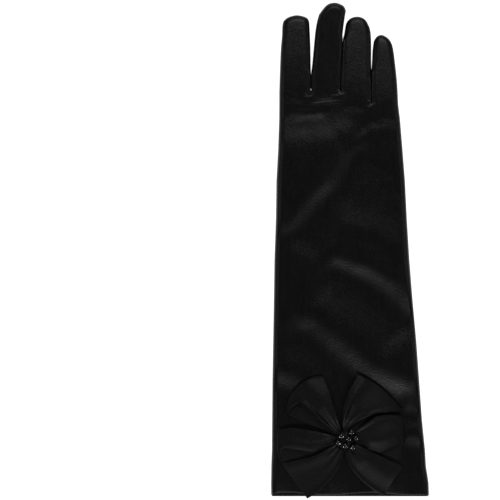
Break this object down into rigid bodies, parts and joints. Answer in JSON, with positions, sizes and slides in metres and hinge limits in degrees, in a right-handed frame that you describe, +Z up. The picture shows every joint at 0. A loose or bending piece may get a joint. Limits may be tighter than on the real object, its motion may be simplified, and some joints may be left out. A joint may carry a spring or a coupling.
{
  "type": "long satin glove",
  "caption": "Elbow-length satin dress glove for the right hand, lying flat, hollow, with a ribbon bow and glossy beads at the cuff.",
  "frame": {"origin": "on the resting surface, under the middle of the glove's length and width", "axes": "+Y along the arm towards the fingertips, +Z up out of the back of the hand, +X towards the little finger"},
  "size_m": [0.134, 0.421, 0.0245],
  "materials": {
    "satin": "black satin weave with a soft low sheen",
    "bow_satin": "black satin ribbon with a soft sheen on its folds",
    "bead": "glossy black round beads"
  },
  "bodies": {
    "root": {"glove_body": "satin", "thumb": "satin", "fourchette_index_middle": "satin", "fourchette_middle_ring": "satin", "fourchette_ring_little": "satin", "cuff_hem": "satin", "bow_loop_upper_left": "bow_satin", "bow_loop_lower_left": "bow_satin", "bow_loop_upper_right": "bow_satin", "bow_loop_lower_right": "bow_satin", "bow_tail_left": "bow_satin", "bow_tail_right": "bow_satin", "bow_knot": "bow_satin", "bead_1": "bead", "bead_2": "bead", "bead_3": "bead", "bead_4": "bead", "bead_5": "bead", "bead_6": "bead", "bead_7": "bead"}
  },
  "joints": []
}
